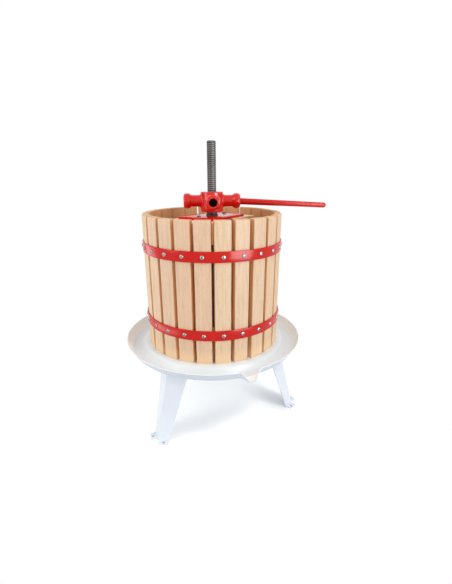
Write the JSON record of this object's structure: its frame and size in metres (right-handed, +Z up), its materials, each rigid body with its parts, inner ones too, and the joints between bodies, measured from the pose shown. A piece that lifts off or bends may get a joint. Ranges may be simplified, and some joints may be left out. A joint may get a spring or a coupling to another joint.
{
  "type": "fruit press",
  "caption": "Basket fruit press: slatted beech basket with red hoops on a white spouted tray and folded legs, pressed by a plate under a four-armed screw hub turned by a bar.",
  "frame": {"origin": "on the spindle axis at the floor under the feet", "axes": "+Z up along the spindle, -Y towards the spout, +Y towards the back leg"},
  "size_m": [0.4589, 0.4321, 0.6372],
  "materials": {
    "white_enamel": "glossy white enamel on pressed steel sheet",
    "red_enamel": "glossy red paint on steel",
    "red_iron": "glossy red paint on cast iron",
    "beech": "planed beech, unvarnished",
    "spindle_steel": "rolled steel thread, dull and slightly oiled",
    "zinc_steel": "bright zinc plate",
    "dark_steel": "blackened turned steel"
  },
  "bodies": {
    "frame": {"tray": "white_enamel", "leg_back": "white_enamel", "leg_left": "white_enamel", "leg_right": "white_enamel", "leg_studs": "zinc_steel", "leg_nuts": "zinc_steel", "spindle": "spindle_steel", "spindle_disc": "zinc_steel", "spindle_upper_nut": "zinc_steel", "spindle_lower_nut": "zinc_steel", "slat_01": "beech", "slat_02": "beech", "slat_03": "beech", "slat_04": "beech", "slat_05": "beech", "slat_06": "beech", "slat_07": "beech", "slat_08": "beech", "slat_09": "beech", "slat_10": "beech", "slat_11": "beech", "slat_12": "beech", "slat_13": "beech", "slat_14": "beech", "slat_15": "beech", "slat_16": "beech", "slat_17": "beech", "slat_18": "beech", "slat_19": "beech", "slat_20": "beech", "slat_21": "beech", "slat_22": "beech", "slat_23": "beech", "slat_24": "beech", "upper_hoop": "red_enamel", "lower_hoop": "red_enamel", "upper_hoop_screws": "zinc_steel", "lower_hoop_screws": "zinc_steel", "press_board_front": "beech", "press_board_back": "beech"},
    "press_head": {"swivel_collar": "dark_steel", "press_plate": "red_enamel", "plate_retaining_ring": "dark_steel", "press_beam_front": "beech", "press_beam_back": "beech", "plate_screws": "zinc_steel"},
    "hub": {"hub": "red_iron", "hub_retaining_ring": "dark_steel"},
    "handle": {"handle_bar": "red_enamel"}
  },
  "joints": [
    {"name": "head_travel", "type": "slide", "parent": "frame", "child": "press_head", "axis": [0, 0, 1], "range_m": [-0.00851, 0.09776]},
    {"name": "hub_turn", "type": "hinge", "parent": "press_head", "child": "hub", "pos_m": [0, 0, 0.5132], "axis": [0, 0, 1], "range_deg": [-720, 8280]},
    {"name": "handle_pull", "type": "slide", "parent": "hub", "child": "handle", "axis": [0.9455, -0.3219, -0.0496], "range_m": [0, 0.052]}
  ],
  "couplings": [
    {"joint": "head_travel", "follows": "hub_turn", "m_per_rad": 0.00067641}
  ]
}
